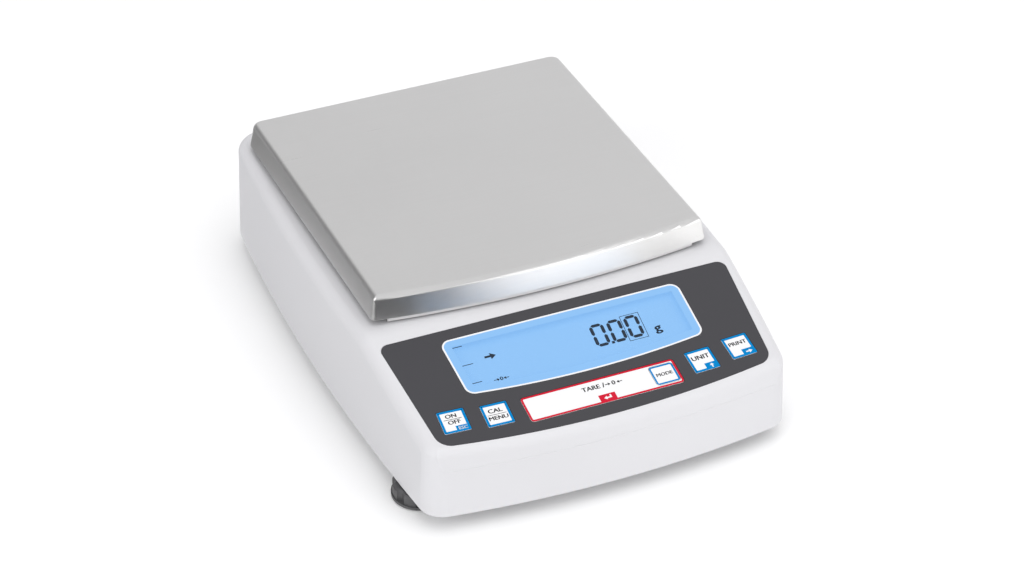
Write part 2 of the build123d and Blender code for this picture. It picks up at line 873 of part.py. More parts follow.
def main_board():
    width, length = main_board_size
    x, y = main_board_centre
    board = z_box(width, length, main_board_height, main_board_height + board_thickness, x, y)
    for cx, cy in board_corners():
        board -= z_cylinder(small_screw_radius + press_gap, main_board_height - 1, main_board_height + 3, cx, cy)
    return board


def board_screws():
    screw = Rot(180, 0, 0) * cap_screw(small_screw_radius - press_gap, 8.0, small_head_radius, small_head_height)
    top = main_board_height + board_thickness
    return as_group([Pos(x, y, top) * screw for x, y in board_corners()])


def board_parts():
    # converter shield, processor, capacitors and the ribbon header
    top = main_board_height + board_thickness
    x, y = main_board_centre
    shield = chamfer(z_box(26, 22, top, top + 6, x + 8, y + 16).edges().group_by(Axis.Z)[-1], 0.8)
    chip = z_box(14, 14, top, top + 1.6, x - 16, y - 4)
    header = z_box(22, 6, top, top + 7, x - 4, y - 32)
    solids = [shield, chip, header]
    for index in range(3):
        can = z_cylinder(4.0, top, top + 11, x + 20, y - 4 - index * 10)
        solids.append(fillet(can.edges().sort_by(Axis.Z)[-1], 0.6))
    return as_group(solids)


def socket_floor_y():
    return rear_y - socket_pocket_depth


def power_jack():
    # coaxial low-voltage inlet
    floor_y = socket_floor_y()
    inner_y = floor_y - wall
    top = main_board_height + board_thickness
    body = Pos(jack_x, inner_y - 6.0, (top + socket_axis_height + 5.5) / 2) * Box(
        10.0, 12.0, socket_axis_height + 5.5 - top
    )
    nose = Pos(jack_x, inner_y + wall / 2, socket_axis_height) * Rot(90, 0, 0) * Cylinder(
        jack_nose_radius, wall + 0.2
    )
    bore_length = 9.5
    bore = Pos(jack_x, floor_y - bore_length / 2, socket_axis_height) * Rot(90, 0, 0) * Cylinder(
        jack_bore_radius, bore_length + 0.6
    )
    pin = Pos(jack_x, floor_y - bore_length / 2 - 0.8, socket_axis_height) * Rot(90, 0, 0) * Cylinder(
        jack_pin_radius, bore_length
    )
    return body + nose - bore + pin


def serial_port():
    # nine-way socket: D-shaped shell, flange and solder body
    floor_y = socket_floor_y()
    inner_y = floor_y - wall
    top = main_board_height + board_thickness
    width, height = port_size
    flange = Pos(port_x, inner_y - 0.5, socket_axis_height) * Box(port_flange[0], 1.0, port_flange[1])
    body_height = socket_axis_height + port_flange[1] / 2 - 1.0 - top
    body = Pos(port_x, inner_y - 6.0, top + body_height / 2) * Box(port_flange[0] - 10.0, 10.0, body_height)
    shell_face = make_face(
        Polyline(
            (-width / 2, height / 2),
            (width / 2, height / 2),
            (width / 2 - 1.4, -height / 2),
            (-width / 2 + 1.4, -height / 2),
            close=True,
        )
    )
    shell_face = fillet(shell_face.vertices(), 1.8)
    shell = extrude(
        Plane(origin=(port_x, inner_y, socket_axis_height), x_dir=(-1, 0, 0), z_dir=(0, 1, 0)) * shell_face,
        wall + port_reach,
    )
    port = flange + body + shell
    # contact holes, five over four
    for row, count in ((1, 5), (-1, 4)):
        for index in range(count):
            x = port_x + (index - (count - 1) / 2) * 2.77
            hole = Pos(x, floor_y + port_reach, socket_axis_height + row * 1.42) * Rot(90, 0, 0)
            port -= hole * Cylinder(0.55, 5.0)
    for side in (-1, 1):
        port -= Pos(port_x + side * post_spacing / 2, inner_y, socket_axis_height) * Rot(90, 0, 0) * Cylinder(
            screw_radius + press_gap, 4.0
        )
    return port


def port_posts():
    # threaded hexagon posts beside the port
    solids = []
    floor_y = socket_floor_y()
    for side in (-1, 1):
        plane = Plane(
            origin=(port_x + side * post_spacing / 2, floor_y, socket_axis_height), x_dir=(1, 0, 0), z_dir=(0, 1, 0)
        )
        post = extrude(plane * RegularPolygon(post_width / sqrt(3), 6), post_width)
        post -= plane * z_cylinder(screw_radius, 1.0, post_width + 1)
        post += plane * z_cylinder(screw_radius, -wall - 3.0, 0.2)
        solids.append(post)
    return as_group(solids)


def level_centre_y():
    return rear_y - level_setback


def level_case():
    top = deck_height
    case = z_cylinder(level_radius, top - level_depth, top, 0, level_centre_y())
    bore = z_cylinder(level_radius - level_wall, top - level_depth + 1.0, top + 1, 0, level_centre_y())
    return case - bore


def level_vial():
    top = deck_height
    vial = z_cylinder(level_radius - level_wall, top - level_depth + 1.0, top, 0, level_centre_y())
    vial = fillet(vial.edges().sort_by(Axis.Z)[-1], 0.5)
    return vial - Pos(0, level_centre_y(), top - 1.4) * scale(Sphere(1.5), by=(1, 1, 0.45))


def level_bubble():
    top = deck_height
    return Pos(0, level_centre_y(), top - 1.4) * scale(Sphere(1.45), by=(1, 1, 0.45))


def display_ribbon():
    # flat cable from the main board to the underside of the display board
    header_y = main_board_centre[1] - 32.0
    start_z = main_board_height + board_thickness + 7.0
    end = panel_plane.from_local_coords((0, -20.0, -board_depth - board_thickness))
    path = FilletPolyline(
        (header_y, start_z),
        (header_y, start_z + 8.0),
        (header_y - 60.0, start_z + 9.0),
        (end.Y, end.Z - 9.0),
        (end.Y, end.Z - slide_gap),
        radius=4.0,
    )
    return Pos(-55.0, 0, 0) * extrude(Plane.YZ * trace(path, 0.8), amount=10.0, both=True)


nodes = {
    "upper_housing": upper_housing,
    "base_tray": base_tray,
    "panel_film": panel_film,
    "display_window": display_window,
    "lcd_glass": lcd_glass,
    "lcd_bezel": lcd_bezel,
    "backlight": backlight,
    "display_board": display_board,
    "key_switches": key_switches,
    "display_board_screws": display_board_screws,
    "tare_key": tare_key,
    "mode_key": mode_key,
    "weighing_pan": weighing_pan,
    "pan_support": pan_support,
    "pan_dampers": pan_dampers,
    "support_screw": support_screw,
    "load_column": load_column,
    "load_bracket": load_bracket,
    "bracket_bolts": bracket_bolts,
    "load_cell": load_cell,
    "cell_spacer": cell_spacer,
    "cell_bolts": cell_bolts,
    "overload_stops": overload_stops,
    "foot_inserts": foot_inserts,
    "rear_feet": rear_feet,
    "housing_screws": housing_screws,
    "main_board": main_board,
    "board_parts": board_parts,
    "board_screws": board_screws,
    "power_jack": power_jack,
    "serial_port": serial_port,
    "port_posts": port_posts,
    "level_case": level_case,
    "level_vial": level_vial,
    "level_bubble": level_bubble,
    "display_ribbon": display_ribbon,
}


def main():
    os.makedirs("parts", exist_ok=True)
    shapes = {name: build() for name, build in nodes.items()}
    for name, (x, s, turn) in key_places().items():
        shapes[name] = square_key(x, s, turn)
    for side, (x, y) in zip(("left", "right"), foot_places()):
        shapes[side + "_foot_wheel"] = foot_wheel(x, y)
        shapes[side + "_foot_stud"] = foot_stud(x, y)
        shapes[side + "_foot_pad"] = foot_pad(x, y)
    for name, shape in shapes.items():
        export_step(shape, "parts/" + name + ".step")
        print(name, "written")


main()
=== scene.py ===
import json
import math

import bpy
from mathutils import Matrix, Vector


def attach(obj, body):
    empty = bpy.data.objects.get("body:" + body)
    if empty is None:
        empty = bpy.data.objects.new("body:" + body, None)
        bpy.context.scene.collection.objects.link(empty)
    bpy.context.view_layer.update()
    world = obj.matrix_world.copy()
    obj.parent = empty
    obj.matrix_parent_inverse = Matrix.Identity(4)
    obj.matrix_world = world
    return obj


# Precision balance: finishes, panel prints and display on the fixed frame.
# Metres, +Z up, the user stands at -Y.

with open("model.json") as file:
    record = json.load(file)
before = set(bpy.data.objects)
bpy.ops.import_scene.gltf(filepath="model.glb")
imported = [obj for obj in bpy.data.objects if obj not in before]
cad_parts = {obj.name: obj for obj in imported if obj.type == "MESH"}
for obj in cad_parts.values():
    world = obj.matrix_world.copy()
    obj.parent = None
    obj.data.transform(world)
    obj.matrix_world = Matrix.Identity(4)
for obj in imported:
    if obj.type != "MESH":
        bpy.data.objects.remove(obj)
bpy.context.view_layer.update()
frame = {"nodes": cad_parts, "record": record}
nodes = frame["nodes"]
mm = 0.001
bumpDepth = 0.2 * mm
white = (1, 1, 1, 1)
print("frame loaded:", len(nodes), "nodes")


# Shader maths

class Wire:
    # a shader socket that takes part in ordinary maths

    def __init__(self, graph, socket):
        self.graph = graph
        self.socket = socket

    def math(self, operation, *values):
        return self.graph.node("Math", {"operation": operation}, dict(enumerate(values)))

    def __add__(self, other):
        return self.math("ADD", self, other)

    def __radd__(self, other):
        return self.math("ADD", other, self)

    def __sub__(self, other):
        return self.math("SUBTRACT", self, other)

    def __rsub__(self, other):
        return self.math("SUBTRACT", other, self)

    def __mul__(self, other):
        return self.math("MULTIPLY", self, other)

    def __rmul__(self, other):
        return self.math("MULTIPLY", other, self)

    def __truediv__(self, other):
        return self.math("DIVIDE", self, other)

    def clamped(self):
        return self.graph.node("Clamp", {}, {"Value": self})


class Graph:
    # a node tree that is filled by expressions

    def __init__(self, tree):
        self.tree = tree
        self.tree.nodes.clear()

    def node(self, kind, settings, values, output=0):
        item = self.tree.nodes.new("ShaderNode" + kind)
        for name, value in settings.items():
            setattr(item, name, value)
        for key, value in values.items():
            if isinstance(value, Wire):
                self.tree.links.new(value.socket, item.inputs[key])
            else:
                item.inputs[key].default_value = value
        return Wire(self, item.outputs[output]) if len(item.outputs) else None

    def place(self, stretch=(1, 1, 1)):
        coords = self.node("TexCoord", {}, {}, "Object")
        return self.node("Mapping", {}, {"Vector": coords, "Scale": stretch})

    def noise(self, scale, detail=2.0, stretch=(1, 1, 1)):
        return self.node("TexNoise", {}, {"Vector": self.place(stretch), "Scale": scale, "Detail": detail})

    def blend(self, factor, low, high):
        return self.node("Mix", {"data_type": "RGBA"}, {0: factor, 6: (*low, 1), 7: (*high, 1)}, 2)

    def bump(self, height, strength):
        return self.node("Bump", {}, {"Strength": strength, "Distance": bumpDepth, "Height": height})

    def close(self, kind, shader):
        self.node("Output" + kind, {}, {"Surface": shader})


def newMaterial(name):
    material = bpy.data.materials.new(name)
    material.use_nodes = True
    return material, Graph(material.node_tree)


def shades(color, mottle):
    low = tuple(channel * (1 - mottle) for channel in color)
    high = tuple(min(1.0, channel * (1 + mottle)) for channel in color)
    return low, high


usualLook = {
    "patch": 18.0,
    "grainScale": 2600.0,
    "grainDetail": 3.0,
    "roughSpread": 0.08,
    "metallic": 0.0,
    "alpha": 1.0,
    "specular": 0.5,
}


def solidFinish(name, ownLook):
    # two close tones mottled by noise, and a fine grain in the surface
    look = {**usualLook, **ownLook}
    material, graph = newMaterial(name)
    tone = graph.noise(look["patch"])
    grain = graph.noise(look["grainScale"], look["grainDetail"])
    shader = graph.node("BsdfPrincipled", {}, {
        "Base Color": graph.blend(tone, *shades(look["color"], look["mottle"])),
        "Roughness": (look["roughness"] + (tone - 0.5) * look["roughSpread"]).clamped(),
        "Normal": graph.bump(grain, look["grain"]),
        "Metallic": look["metallic"],
        "Alpha": look["alpha"],
        "Specular IOR Level": look["specular"],
    })
    graph.close("Material", shader)
    return material


finishLooks = {
    "housing_plastic": {
        "color": (0.69, 0.687, 0.705), "mottle": 0.008, "roughness": 0.5, "grain": 0.1, "specular": 0.35,
    },
    "base_plastic": {"color": (0.42, 0.42, 0.43), "mottle": 0.03, "roughness": 0.6, "grain": 0.2},
    "panel_film": {
        "color": (0.054, 0.053, 0.059), "mottle": 0.05, "roughness": 0.5, "grain": 0.05, "specular": 0.3,
    },
    "circuit_board": {"color": (0.02, 0.14, 0.06), "mottle": 0.15, "roughness": 0.4, "grain": 0.1},
    "black_plastic": {"color": (0.02, 0.02, 0.021), "mottle": 0.1, "roughness": 0.45, "grain": 0.15},
    "backlight": {"color": (0.85, 0.9, 0.97), "mottle": 0.02, "roughness": 0.5, "grain": 0.05},
    "steel": {"color": (0.55, 0.55, 0.56), "mottle": 0.05, "roughness": 0.32, "grain": 0.1, "metallic": 1.0},
    "key_white": {
        "color": (0.86, 0.86, 0.865), "mottle": 0.01, "roughness": 0.45, "grain": 0.04, "specular": 0.3,
    },
    "cast_aluminium": {
        "color": (0.6, 0.6, 0.61), "mottle": 0.05, "roughness": 0.55, "grain": 0.5, "metallic": 1.0,
    },
    "cell_aluminium": {
        "color": (0.66, 0.67, 0.68), "mottle": 0.03, "roughness": 0.35, "grain": 0.1, "metallic": 1.0,
    },
    "rubber_dark": {"color": (0.03, 0.03, 0.03), "mottle": 0.12, "roughness": 0.8, "grain": 0.4},
    "brass": {"color": (0.68, 0.5, 0.2), "mottle": 0.05, "roughness": 0.35, "grain": 0.1, "metallic": 1.0},
    "foot_plastic": {"color": (0.085, 0.085, 0.088), "mottle": 0.1, "roughness": 0.42, "grain": 0.25},
    "port_metal": {
        "color": (0.62, 0.62, 0.6), "mottle": 0.04, "roughness": 0.28, "grain": 0.1, "metallic": 1.0,
    },
    "ribbon_grey": {"color": (0.4, 0.4, 0.41), "mottle": 0.04, "roughness": 0.5, "grain": 0.3},
    "level_fluid": {
        "color": (0.62, 0.78, 0.12), "mottle": 0.03, "roughness": 0.12, "grain": 0.0, "alpha": 0.7,
    },
    "bubble_air": {"color": (0.9, 1.0, 0.75), "mottle": 0.02, "roughness": 0.1, "grain": 0.0, "alpha": 0.6},
    "display_window": {
        "color": (0.4, 0.65, 1.0), "mottle": 0.01, "roughness": 0.2, "grain": 0.0, "alpha": 0.02,
        "specular": 0.05,
    },
    "inkWhite": {"color": (0.85, 0.85, 0.86), "mottle": 0.02, "roughness": 0.5, "grain": 0.05},
    "inkBlue": {
        "color": (0.0, 0.22, 0.55), "mottle": 0.03, "roughness": 0.5, "grain": 0.05, "specular": 0.05,
    },
    "inkRed": {
        "color": (0.60, 0.004, 0.028), "mottle": 0.03, "roughness": 0.45, "grain": 0.05, "specular": 0.2,
    },
    "inkBlack": {
        "color": (0.03, 0.03, 0.033), "mottle": 0.05, "roughness": 0.5, "grain": 0.05, "specular": 0.2,
    },
    "segmentBlack": {
        "color": (0.01, 0.012, 0.018), "mottle": 0.05, "roughness": 0.5, "grain": 0.0, "specular": 0.1,
    },
}

panLook = {
    "color": (0.83, 0.825, 0.815),
    "mottle": 0.05,
    "roughness": 0.30,
    "roughSpread": 0.10,
    "streak": (2.0, 260.0, 60.0),
    "streakScale": 9.0,
    "streakDetail": 4.0,
    "streakShare": 0.55,
    "fineScale": 60.0,
    "fineDetail": 3.0,
    "patch": 14.0,
    "grain": 0.3,
}


def brushedSteel(name, look):
    # streaks that run across the pan, coarse ones for the tone and fine ones for the surface
    material, graph = newMaterial(name)
    streak = graph.noise(look["streakScale"], look["streakDetail"], look["streak"])
    fine = graph.noise(look["fineScale"], look["fineDetail"], look["streak"])
    patch = graph.noise(look["patch"])
    share = look["streakShare"]
    tone = (share * streak + (1 - share) * patch).clamped()
    shader = graph.node("BsdfPrincipled", {}, {
        "Base Color": graph.blend(tone, *shades(look["color"], look["mottle"])),
        "Roughness": (look["roughness"] + (streak - 0.5) * look["roughSpread"]).clamped(),
        "Normal": graph.bump(fine, look["grain"]),
        "Metallic": 1.0,
    })
    graph.close("Material", shader)
    return material


displayLook = {
    "base": (0.07, 0.11, 0.14),
    "light": (0.205, 0.43, 0.77),
    # shadow and its band: the colour of the painted shadow and the heights over which it darkens the field
    "shadow": (0.18, 0.395, 0.72),
    "shadowLow": 0.0565,
    "shadowHigh": 0.0592,
    "shadowShare": 0.8,
    "patch": 16.0,
    "mottle": 0.02,
    "roughness": 0.35,
    "specular": 0.1,
}


def litDisplay(name, look):
    # a lit field with a painted shadow that darkens it towards its upper edge, under the window's frame
    material, graph = newMaterial(name)
    coords = graph.place()
    height = graph.node("SeparateXYZ", {}, {"Vector": coords}, "Z")
    rise = look["shadowHigh"] - look["shadowLow"]
    shadow = ((height - look["shadowLow"]) / rise).clamped()
    patch = graph.noise(look["patch"])
    field = graph.blend(patch, *shades(look["light"], look["mottle"]))
    # a darker copy of the field, mixed in near the upper edge as the painted shadow
    dark = graph.blend(patch, *shades(look["shadow"], look["mottle"]))
    glow = graph.node("Mix", {"data_type": "RGBA"}, {0: shadow * look["shadowShare"], 6: field, 7: dark}, 2)
    base = graph.blend(patch, *shades(look["base"], look["mottle"]))
    shader = graph.node("BsdfPrincipled", {}, {
        "Base Color": base,
        "Roughness": look["roughness"],
        "Specular IOR Level": look["specular"],
        "Emission Color": glow,
        "Emission Strength": 1.0,
    })
    graph.close("Material", shader)
    return material


finishes = {name: solidFinish(name, look) for name, look in finishLooks.items()}
finishes["pan_steel"] = brushedSteel("pan_steel", panLook)
finishes["lcd_glass"] = litDisplay("lcd_glass", displayLook)

for entry in frame["record"]["subparts"]:
    node = nodes[entry["node"]]
    node.data.materials.clear()
    node.data.materials.append(finishes[entry["material_slot"]])
evenShading = nodes["weighing_pan"].modifiers.new("evenShading", "WEIGHTED_NORMAL")
evenShading.keep_sharp = True
evenShading.weight = 100
print("finishes on all nodes")


# The flat tops on the sloped panel, read from the frame

panelNormal = Vector((0, -1, 4)).normalized()  # about the panel's slope
facingLimit = 0.99
topDepth = 0.3 * mm
flatDepth = 0.05 * mm
sameSpot = 0.01 * mm
cornerLimit = 0.5


def topFaces(mesh):
    facing = [face for face in mesh.polygons if face.normal.dot(panelNormal) > facingLimit]
    height = max(face.center.dot(panelNormal) for face in facing)
    near = [face for face in facing if height - face.center.dot(panelNormal) < topDepth]
    normal = sum((face.normal * face.area for face in near), Vector()).normalized()
    level = max(face.center.dot(normal) for face in near)
    return [face for face in near if level - face.center.dot(normal) < flatDepth], normal


def rimLoops(mesh, faces):
    # closed chains of the edges that only one of the faces has
    spots = {}
    uses = {}
    for face in faces:
        corners = list(face.vertices)
        for pair in zip(corners, corners[1:] + corners[:1]):
            keys = []
            for index in pair:
                place = mesh.vertices[index].co
                key = tuple(round(value / sameSpot) for value in place)
                spots[key] = place.copy()
                keys.append(key)
            edge = frozenset(keys)
            uses[edge] = uses.get(edge, 0) + 1
    beside = {}
    for edge, count in uses.items():
        if count == 1 and len(edge) == 2:
            first, second = edge
            beside.setdefault(first, set()).add(second)
            beside.setdefault(second, set()).add(first)
    loops = []
    left = set(beside)
    while left:
        here = left.pop()
        loop = [here]
        while True:
            ahead = [key for key in beside[here] if key in left]
            if not ahead:
                break
            here = ahead[0]
            left.discard(here)
            loop.append(here)
        loops.append([spots[key] for key in loop])
    return loops


def panelTop(name):
    # a node's top outline in its own plane: x to the right, y up the slope, z out
    mesh = nodes[name].data
    faces, normal = topFaces(mesh)
    right = Vector((1, 0, 0))
    up = normal.cross(right).normalized()
    best = None
    for loop in rimLoops(mesh, faces):
        xs = [point.dot(right) for point in loop]
        ys = [point.dot(up) for point in loop]
        size = (max(xs) - min(xs)) * (max(ys) - min(ys))
        if best is None or size > best[0]:
            best = (size, loop, (min(xs) + max(xs)) / 2, (min(ys) + max(ys)) / 2)
    loop, midX, midY = best[1:]
    centre = right * midX + up * midY + normal * loop[0].dot(normal)
    outline = [((point - centre).dot(right), (point - centre).dot(up)) for point in loop]
    area = sum(a[0] * b[1] - b[0] * a[1] for a, b in zip(outline, outline[1:] + outline[:1]))
    if area < 0:
        outline.reverse()
    axes = Matrix((right, up, normal)).transposed().to_4x4()
    return Matrix.Translation(centre) @ axes, outline


def grown(outline, reach):
    # an outline moved outwards by reach
    moved = []
    for index, corner in enumerate(outline):
        here = Vector(corner)
        first = (here - Vector(outline[index - 1])).normalized()
        second = (Vector(outline[(index + 1) % len(outline)]) - here).normalized()
        out = Vector((first.y + second.y, -first.x - second.x)).normalized()
        stretch = 1 / max(cornerLimit, out.dot(Vector((first.y, -first.x))))
        moved.append((corner[0] + out.x * reach * stretch, corner[1] + out.y * reach * stretch))
    return moved


def addPiece(name, mesh, place, body, finish):
    mesh.materials.clear()
    mesh.materials.append(finishes[finish])
    piece = bpy.data.objects.new(name, mesh)
    piece.matrix_world = place
    bpy.context.scene.collection.objects.link(piece)
    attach(piece, body)


inkLift = 0.03  # millimetres above the top: lines and words, then tabs, then the marks on the tabs
tabLift = 0.04
markLift = 0.06
ruleHeight = 0.28


def addFlat(name, place, points, faces, body, finish, lift):
    # a flat print in the place's plane, its points in millimetres
    mesh = bpy.data.meshes.new(name)
    mesh.from_pydata([(x * mm, y * mm, lift * mm) for x, y in points], [], faces)
    mesh.update()
    addPiece(name, mesh, place, body, finish)


def addPlate(name, place, points, body, finish, lift=inkLift):
    addFlat(name, place, points, [tuple(range(len(points)))], body, finish, lift)


def addRing(name, node, body, finish, line, lift=inkLift):
    # a printed line around a node's top
    place, outline = panelTop(node)
    inner = grown(outline, line["gap"] * mm)
    outer = grown(outline, (line["gap"] + line["width"]) * mm)
    count = len(inner)
    points = [(x / mm, y / mm) for x, y in inner + outer]
    faces = [(i, count + i, count + (i + 1) % count, (i + 1) % count) for i in range(count)]
    addFlat(name, place, points, faces, body, finish, lift)


def rectangle(x, y, width, height, slant=0.0):
    corners = [(-1, -1), (1, -1), (1, 1), (-1, 1)]
    return [(x + a * width / 2 + slant * b * height / 2, y + b * height / 2) for a, b in corners]


lettering = {"resolution": 3, "wide": 1.1, "weight": 0.035, "rise": 0.3}


def addWords(name, place, text, look, body, finish="inkBlack", lift=inkLift):
    # generic lettering, turned into a flat mesh
    curve = bpy.data.curves.new(name, "FONT")
    curve.body = text
    curve.size = look["size"] * mm
    curve.align_x = "CENTER"
    curve.align_y = "CENTER"
    curve.resolution_u = lettering["resolution"]
    source = bpy.data.objects.new(name + "Source", curve)
    bpy.context.scene.collection.objects.link(source)
    bpy.context.view_layer.update()
    thin = bpy.data.meshes.new_from_object(source)
    bpy.data.objects.remove(source)
    step = look["size"] * look.get("weight", lettering["weight"])
    points = []
    faces = []
    for push in (-1, 0, 1):  # three copies side by side make the strokes bold
        start = len(points)
        for vertex in thin.vertices:
            x = vertex.co.x / mm * lettering["wide"] + push * step
            y = vertex.co.y / mm + push * step * lettering["rise"]
            points.append((look["x"] + x, look["y"] + y))
        faces += [tuple(start + index for index in face.vertices) for face in thin.polygons]
    addFlat(name, place, points, faces, body, finish, lift)


# Keys: outline, words, tab and arrow

squareKeys = {
    "power_key": {
        "turn": -2.9,
        "words": {"ON": (-0.4, 3.1, 3.2), "OFF": (0.1, -0.6, 3.2)},
        "rule": (-0.1, 1.25, 8.8),
        "tab": (3.1, -4.6, 6.6, 3.4),
        "mark": "ESC",
        "markSize": 2.5,
    },
    "cal_key": {
        "turn": -2.0,
        "words": {"CAL": (-0.3, 2.2, 3.4), "MENU": (0.0, -2.1, 3.2)},
        "rule": (-0.1, 0.05, 9.2),
    },
    "unit_key": {
        "turn": 2.0,
        "words": {"UNIT": (-0.1, 1.7, 3.6)},
        "tab": (3.1, -4.4, 6.6, 4.0),
        "mark": "up",
    },
    "print_key": {
        "turn": 2.9,
        "words": {"PRINT": (0.0, 1.8, 3.1)},
        "tab": (3.1, -4.4, 6.6, 4.0),
        "mark": "right",
    },
}
keyLine = {"gap": -1.0, "width": 1.2}
barLine = {"gap": -0.8, "width": 1.0}
modeLine = {"gap": -0.7, "width": 0.85}
arrows = {
    "right": [(-1.6, -0.35), (0.1, -0.35), (0.1, -1.1), (1.7, 0), (0.1, 1.1), (0.1, 0.35), (-1.6, 0.35)],
    "up": [(-0.3, -1.3), (0.3, -1.3), (0.3, 0.1), (1.1, 0.1), (0, 1.3), (-1.1, 0.1), (-0.3, 0.1)],
    "enter": [
        (-2.0, -0.2), (-0.5, -1.3), (-0.5, -0.6), (1.9, -0.6), (1.9, 1.3), (1.1, 1.3), (1.1, 0.2),
        (-0.5, 0.2), (-0.5, 0.9),
    ],
}


def moved(points, x, y, scale=1.0):
    return [(x + a * scale, y + b * scale) for a, b in points]


def printSquareKeys():
    for node, look in squareKeys.items():
        stem = node.split("_")[0]
        place = panelTop(node)[0] @ Matrix.Rotation(math.radians(look["turn"]), 4, "Z")
        addRing(stem + "Border", node, node, "inkBlue", keyLine)
        for word, (x, y, size) in look["words"].items():
            addWords(stem + "Word" + word, place, word, {"x": x, "y": y, "size": size}, node)
        if "rule" in look:
            x, y, width = look["rule"]
            addPlate(stem + "Rule", place, rectangle(x, y, width, ruleHeight), node, "inkBlack")
        if "tab" in look:
            x, y, width, height = look["tab"]
            addPlate(stem + "Tab", place, rectangle(x, y, width, height), node, "inkBlue", tabLift)
            if look["mark"] in arrows:
                addPlate(stem + "Arrow", place, moved(arrows[look["mark"]], x, y), node, "inkWhite", markLift)
            else:
                words = {"x": x, "y": y, "size": look["markSize"]}
                addWords(stem + "Mark", place, look["mark"], words, node, "inkWhite", markLift)


barKey = {
    "word": {"x": -4.9, "y": 2.6, "size": 3.5},
    "slash": {"x": 1.4, "y": 2.6, "size": 3.9},
    "zero": {"x": 6.6, "y": 2.6, "size": 3.4},
    "tips": [(3.6, 1), (9.6, -1)],
    "tab": (0.6, -4.6, 8.4, 4.2),
    "modeWord": {"x": 0.0, "y": 0.0, "size": 2.7},
}
thinArrow = [(-1.4, -0.2), (0.2, -0.2), (0.2, -0.9), (1.4, 0), (0.2, 0.9), (0.2, 0.2), (-1.4, 0.2)]


def printBarKey():
    look = barKey
    place = panelTop("tare_key")[0]
    addRing("tareBorder", "tare_key", "tare_key", "inkRed", barLine)
    addWords("tareWord", place, "TARE", look["word"], "tare_key")
    addWords("tareSlash", place, "/", look["slash"], "tare_key")
    addWords("tareZero", place, "0", look["zero"], "tare_key")
    for index, (x, side) in enumerate(look["tips"]):
        points = [(x + side * a, look["zero"]["y"] + side * b) for a, b in thinArrow]
        addPlate("tareTip%d" % index, place, points, "tare_key", "inkBlack")
    x, y, width, height = look["tab"]
    addPlate("tareTab", place, rectangle(x, y, width, height), "tare_key", "inkRed", tabLift)
    addPlate("tareArrow", place, moved(arrows["enter"], x, y), "tare_key", "inkWhite", markLift)
    place = panelTop("mode_key")[0]
    addRing("modeBorder", "mode_key", "mode_key", "inkBlue", modeLine)
    addWords("modeWord", place, "MODE", look["modeWord"], "mode_key")


windowLine = {"gap": 0.0, "width": 0.85}
# a printed ring that glows like the display: painted glow standing in for the backlit field seen up to the
# window's edge
paintedGlowField = {"gap": -3.7, "width": 3.7}  # lit like the display, over the window's edge

printSquareKeys()
printBarKey()
addRing("windowLine", "display_window", "housing", "inkWhite", windowLine)
# painted glow over the window's edge, in the display's lit material
addRing("paintedGlowField", "display_window", "housing", "lcd_glass", paintedGlowField)
print("keys and window printed")


# What the display shows, in millimetres from the middle of the glass

readout = {
    "parallax": (1.26, 2.25),
    "digitX": [12.6, 21.5, 30.4],
    "digitY": -0.6,
    "digitWidth": 7.3,
    "digitHeight": 13.8,
    "stroke": 1.7,
    "gap": 0.2,
    "slant": 0.07,
    "point": (17.0, -6.8, 1.5),
    "bracket": (30.4, -0.8, 9.6, 15.6, 0.3),
    "unit": {"x": 40.9, "y": -4.9, "size": 7.0, "weight": 0.045},
    "dashes": [(-54.8, 13.4, 5.2), (-54.2, 1.8, 5.6), (-54.4, -9.6, 5.6)],
    "dashHeight": 0.4,
    "arrow": (-42.1, 3.5, 1.75),
    "zero": {"x": -42.2, "y": -10.9, "size": 3.0},
    "tips": [(-44.6, 1), (-39.8, -1)],
    "lift": 0.05,
}


def addMark(name, place, points):
    addPlate(name, place, points, "housing", "segmentBlack", readout["lift"])


def bar(length, stroke, upright):
    # one pointed segment
    reach = length / 2
    half = stroke / 2
    points = [(-reach, 0), (half - reach, -half), (reach - half, -half), (reach, 0), (reach - half, half),
              (half - reach, half)]
    return [(y, x) for x, y in reversed(points)] if upright else points


def showZero(name, place, x, y):
    # the six outer segments of a figure eight
    look = readout
    sideX = (look["digitWidth"] - look["stroke"]) / 2
    endY = (look["digitHeight"] - look["stroke"]) / 2
    parts = [(0, endY, False), (0, -endY, False)]
    parts += [(side * sideX, end * endY / 2, True) for side in (-1, 1) for end in (-1, 1)]
    for index, (partX, partY, upright) in enumerate(parts):
        length = (endY if upright else 2 * sideX) - 2 * look["gap"]
        points = moved(bar(length, look["stroke"], upright), partX, partY)
        slanted = [(x + a + look["slant"] * b, y + b) for a, b in points]
        addMark("%sPart%d" % (name, index), place, slanted)


